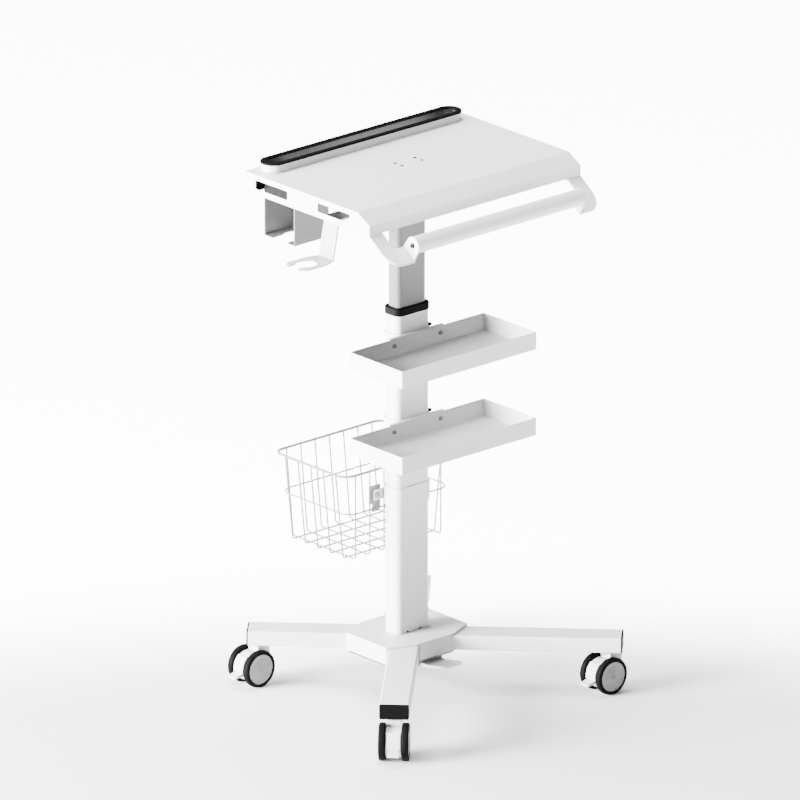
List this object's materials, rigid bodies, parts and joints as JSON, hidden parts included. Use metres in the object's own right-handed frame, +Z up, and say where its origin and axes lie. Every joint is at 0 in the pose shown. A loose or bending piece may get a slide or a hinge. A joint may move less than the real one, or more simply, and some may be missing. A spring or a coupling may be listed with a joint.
{
  "type": "medical equipment trolley",
  "caption": "Height-adjustable mobile ultrasound trolley with worktop, push handle, shelf trays, wire basket, release pedal and braked swivel casters.",
  "frame": {"origin": "on the floor, under the middle of the whole object's box", "axes": "+Z up, -Y to the user's side where the handle is, +X to the user's right"},
  "size_m": [0.6719, 0.5835, 1.1],
  "materials": {
    "white_paint": "satin powder coat",
    "white_wire": "satin powder coat",
    "black_rubber": "matte",
    "black_plastic": "satin moulded",
    "steel": "zinc plated",
    "dark_steel": "gloss",
    "grey_plastic": "moulded",
    "tyre": "matte"
  },
  "bodies": {
    "frame": {"hub_cover": "white_paint", "base_plate": "steel", "leg_front_left": "white_paint", "leg_front_right": "white_paint", "leg_rear_left": "white_paint", "leg_rear_right": "white_paint", "leg_end_caps": "black_plastic", "outer_column": "white_paint", "column_collar": "black_plastic", "gas_spring_cylinder": "dark_steel", "tray_upper": "white_paint", "tray_lower": "white_paint", "tray_clamps": "white_paint", "clamp_pads": "black_rubber", "basket_rings": "white_wire", "basket_side_wires": "white_wire", "basket_floor_wires": "white_wire", "basket_clamp": "white_paint", "basket_bracket": "steel", "frame_screws": "steel", "pedal_bracket": "steel", "caster_stems": "steel"},
    "mast": {"inner_column": "white_paint", "top_mount_plate": "steel", "gas_spring_rod": "steel", "worktop": "white_paint", "slot_trim": "black_rubber", "handle_bracket_left": "white_paint", "handle_bracket_right": "white_paint", "handle_bar": "white_paint", "device_holder": "white_paint", "bottle_holder": "white_paint", "worktop_screws": "steel"},
    "pedal": {"foot_pedal": "white_paint"},
    "caster_front_left": {"caster_housing_front_left": "grey_plastic"},
    "lever_front_left": {"brake_lever_front_left": "grey_plastic"},
    "wheel_front_left_a": {"wheel_core_front_left_a": "grey_plastic", "wheel_tyre_front_left_a": "tyre"},
    "wheel_front_left_b": {"wheel_core_front_left_b": "grey_plastic", "wheel_tyre_front_left_b": "tyre"},
    "caster_front_right": {"caster_housing_front_right": "grey_plastic"},
    "lever_front_right": {"brake_lever_front_right": "grey_plastic"},
    "wheel_front_right_a": {"wheel_core_front_right_a": "grey_plastic", "wheel_tyre_front_right_a": "tyre"},
    "wheel_front_right_b": {"wheel_core_front_right_b": "grey_plastic", "wheel_tyre_front_right_b": "tyre"},
    "caster_rear_left": {"caster_housing_rear_left": "grey_plastic"},
    "lever_rear_left": {"brake_lever_rear_left": "grey_plastic"},
    "wheel_rear_left_a": {"wheel_core_rear_left_a": "grey_plastic", "wheel_tyre_rear_left_a": "tyre"},
    "wheel_rear_left_b": {"wheel_core_rear_left_b": "grey_plastic", "wheel_tyre_rear_left_b": "tyre"},
    "caster_rear_right": {"caster_housing_rear_right": "grey_plastic"},
    "lever_rear_right": {"brake_lever_rear_right": "grey_plastic"},
    "wheel_rear_right_a": {"wheel_core_rear_right_a": "grey_plastic", "wheel_tyre_rear_right_a": "tyre"},
    "wheel_rear_right_b": {"wheel_core_rear_right_b": "grey_plastic", "wheel_tyre_rear_right_b": "tyre"}
  },
  "joints": [
    {"name": "mast_slide", "type": "slide", "parent": "frame", "child": "mast", "axis": [0, 0, 1], "range_m": [-0.22, 0.03]},
    {"name": "pedal_hinge", "type": "hinge", "parent": "frame", "child": "pedal", "pos_m": [0.017, -0.01145, 0.068], "axis": [1, 0, 0], "range_deg": [0, 12], "stiffness_Nm_per_rad": 3, "springref_deg": -8.59},
    {"name": "swivel_front_left", "type": "hinge", "parent": "frame", "child": "caster_front_left", "pos_m": [-0.26514, -0.23159, 0.082], "axis": [0, 0, 1], "continuous": true},
    {"name": "brake_front_left", "type": "hinge", "parent": "caster_front_left", "child": "lever_front_left", "pos_m": [-0.29837, -0.26482, 0.03], "axis": [0.7071, -0.7071, 0], "range_deg": [0, 10]},
    {"name": "roll_front_left_a", "type": "hinge", "parent": "caster_front_left", "child": "wheel_front_left_a", "pos_m": [-0.27928, -0.24573, 0.0375], "axis": [0.7071, -0.7071, 0], "continuous": true},
    {"name": "roll_front_left_b", "type": "hinge", "parent": "caster_front_left", "child": "wheel_front_left_b", "pos_m": [-0.27928, -0.24573, 0.0375], "axis": [0.7071, -0.7071, 0], "continuous": true},
    {"name": "swivel_front_right", "type": "hinge", "parent": "frame", "child": "caster_front_right", "pos_m": [0.29914, -0.23159, 0.082], "axis": [0, 0, 1], "continuous": true},
    {"name": "brake_front_right", "type": "hinge", "parent": "caster_front_right", "child": "lever_front_right", "pos_m": [0.25214, -0.23159, 0.03], "axis": [0, -1, 0], "range_deg": [0, 10]},
    {"name": "roll_front_right_a", "type": "hinge", "parent": "caster_front_right", "child": "wheel_front_right_a", "pos_m": [0.27914, -0.23159, 0.0375], "axis": [0, -1, 0], "continuous": true},
    {"name": "roll_front_right_b", "type": "hinge", "parent": "caster_front_right", "child": "wheel_front_right_b", "pos_m": [0.27914, -0.23159, 0.0375], "axis": [0, -1, 0], "continuous": true},
    {"name": "swivel_rear_left", "type": "hinge", "parent": "frame", "child": "caster_rear_left", "pos_m": [-0.18735, 0.2549, 0.082], "axis": [0, 0, 1], "continuous": true},
    {"name": "brake_rear_left", "type": "hinge", "parent": "caster_rear_left", "child": "lever_rear_left", "pos_m": [-0.23435, 0.2549, 0.03], "axis": [0, -1, 0], "range_deg": [0, 10]},
    {"name": "roll_rear_left_a", "type": "hinge", "parent": "caster_rear_left", "child": "wheel_rear_left_a", "pos_m": [-0.20735, 0.2549, 0.0375], "axis": [0, -1, 0], "continuous": true},
    {"name": "roll_rear_left_b", "type": "hinge", "parent": "caster_rear_left", "child": "wheel_rear_left_b", "pos_m": [-0.20735, 0.2549, 0.0375], "axis": [0, -1, 0], "continuous": true},
    {"name": "swivel_rear_right", "type": "hinge", "parent": "frame", "child": "caster_rear_right", "pos_m": [0.22135, 0.2549, 0.082], "axis": [0, 0, 1], "continuous": true},
    {"name": "brake_rear_right", "type": "hinge", "parent": "caster_rear_right", "child": "lever_rear_right", "pos_m": [0.17435, 0.2549, 0.03], "axis": [0, -1, 0], "range_deg": [0, 10]},
    {"name": "roll_rear_right_a", "type": "hinge", "parent": "caster_rear_right", "child": "wheel_rear_right_a", "pos_m": [0.20135, 0.2549, 0.0375], "axis": [0, -1, 0], "continuous": true},
    {"name": "roll_rear_right_b", "type": "hinge", "parent": "caster_rear_right", "child": "wheel_rear_right_b", "pos_m": [0.20135, 0.2549, 0.0375], "axis": [0, -1, 0], "continuous": true}
  ]
}
